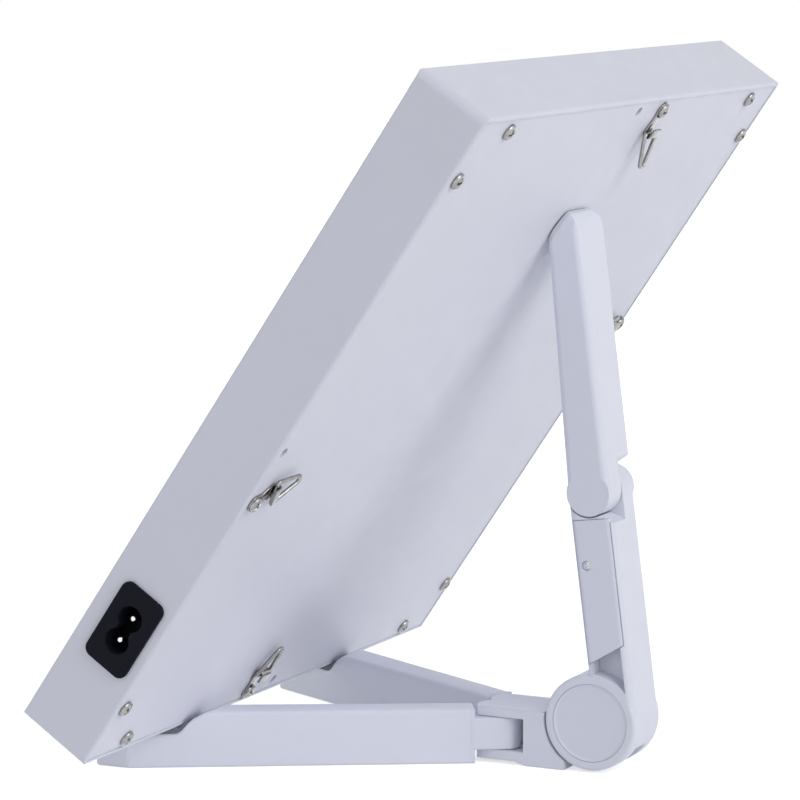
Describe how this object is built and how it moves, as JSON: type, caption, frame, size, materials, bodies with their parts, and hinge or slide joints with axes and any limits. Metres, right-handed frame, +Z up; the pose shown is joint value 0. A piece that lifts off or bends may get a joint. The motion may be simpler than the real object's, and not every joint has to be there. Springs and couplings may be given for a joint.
{
  "type": "red light therapy panel",
  "caption": "Square light therapy panel with a mains inlet and hanging rings, leaning on a folding stand with two hinged legs and a jointed arm.",
  "frame": {"origin": "on the table under the stand's base, midway between the two leg pins", "axes": "+Z up; the light face looks toward -Y and upward, the stand's arm is on the +Y side, the mains inlet on the +X side"},
  "size_m": [0.2514, 0.1702, 0.2351],
  "materials": {
    "frame_white": "satin moulded white",
    "window_clear": "clear acrylic",
    "board_white": "white solder mask on a metal-core board",
    "emitter_red": "clear red lens",
    "emitter_infrared": "clear lens",
    "back_white": "fine matt white",
    "zinc": "zinc plated steel",
    "driver_green": "green laminate",
    "transformer_yellow": "wrapped winding",
    "capacitor_blue": "sleeved can",
    "chip_black": "moulded package",
    "inlet_black": "black moulded",
    "pin_nickel": "nickel plated brass",
    "lead_brown": "insulated lead",
    "lead_red": "insulated lead",
    "stand_white": "satin moulded white",
    "cap_grey": "satin pale grey-blue",
    "washer_grey": "nylon",
    "rubber_grey": "soft dark rubber",
    "rubber_pale": "soft pale rubber"
  },
  "bodies": {
    "base": {"base_block": "stand_white", "leg_pins": "zinc", "friction_washers": "washer_grey"},
    "panel": {"front_frame": "frame_white", "front_window": "window_clear", "board_spacer": "frame_white", "light_board": "board_white", "red_emitters": "emitter_red", "infrared_emitters": "emitter_infrared", "board_screws": "zinc", "back_plate": "back_white", "cover_screws": "zinc", "driver_board": "driver_green", "driver_transformer": "transformer_yellow", "driver_capacitors": "capacitor_blue", "driver_chips": "chip_black", "driver_screws": "zinc", "inlet_housing": "inlet_black", "inlet_pins": "pin_nickel", "mains_leads": "lead_brown", "board_leads": "lead_red", "hanger_straps": "zinc", "hanger_screws": "zinc"},
    "upper_ring": {"upper_ring": "zinc"},
    "lower_ring": {"lower_ring": "zinc"},
    "right_ring": {"right_ring": "zinc"},
    "left_ring": {"left_ring": "zinc"},
    "lower_arm": {"lower_arm": "stand_white", "lower_arm_cover": "cap_grey", "lower_arm_screw": "zinc", "axle_bolt": "zinc", "axle_nut": "zinc", "axle_caps": "cap_grey", "elbow_pin": "zinc"},
    "upper_arm": {"upper_arm": "stand_white", "tip_pad": "rubber_pale"},
    "right_leg": {"right_leg": "stand_white", "right_tray_liner": "rubber_grey"},
    "left_leg": {"left_leg": "stand_white", "left_tray_liner": "rubber_grey"}
  },
  "joints": [
    {"name": "panel_lift", "type": "slide", "parent": "base", "child": "panel", "axis": [0, 0, 1], "range_m": [0, 0.4]},
    {"name": "right_leg_fold", "type": "hinge", "parent": "base", "child": "right_leg", "pos_m": [0.0056, 0, 0.01], "axis": [0, 0, 1], "range_deg": [-27.5, 0]},
    {"name": "left_leg_fold", "type": "hinge", "parent": "base", "child": "left_leg", "pos_m": [-0.0056, 0, 0.01], "axis": [0, 0, 1], "range_deg": [0, 27.5]},
    {"name": "arm_tilt", "type": "hinge", "parent": "base", "child": "lower_arm", "pos_m": [0, 0.0325, 0.0166], "axis": [1, 0, 0], "range_deg": [-60, 0]},
    {"name": "elbow_bend", "type": "hinge", "parent": "lower_arm", "child": "upper_arm", "pos_m": [0, 0.03125, 0.09257], "axis": [1, 0, 0], "range_deg": [-60, 0]},
    {"name": "upper_ring_swing", "type": "hinge", "parent": "panel", "child": "upper_ring", "pos_m": [-0.0194, 0.0401, 0.20839], "axis": [1, 0, 0], "range_deg": [-17, 113]},
    {"name": "lower_ring_swing", "type": "hinge", "parent": "panel", "child": "lower_ring", "pos_m": [0.0194, -0.08404, 0.02435], "axis": [-1, 0, 0], "range_deg": [-4, 126]},
    {"name": "right_ring_swing", "type": "hinge", "parent": "panel", "child": "right_ring", "pos_m": [0.11174, -0.03087, 0.10319], "axis": [-0.4067, -0.5108, -0.7574], "range_deg": [-4, 126]},
    {"name": "left_ring_swing", "type": "hinge", "parent": "panel", "child": "left_ring", "pos_m": [-0.111, -0.01112, 0.13245], "axis": [0, 0.5592, 0.829], "range_deg": [-4, 126]}
  ],
  "couplings": [
    {"joint": "right_leg_fold", "follows": "panel_lift", "rad_per_m": -1.1999},
    {"joint": "left_leg_fold", "follows": "panel_lift", "rad_per_m": 1.1999}
  ]
}
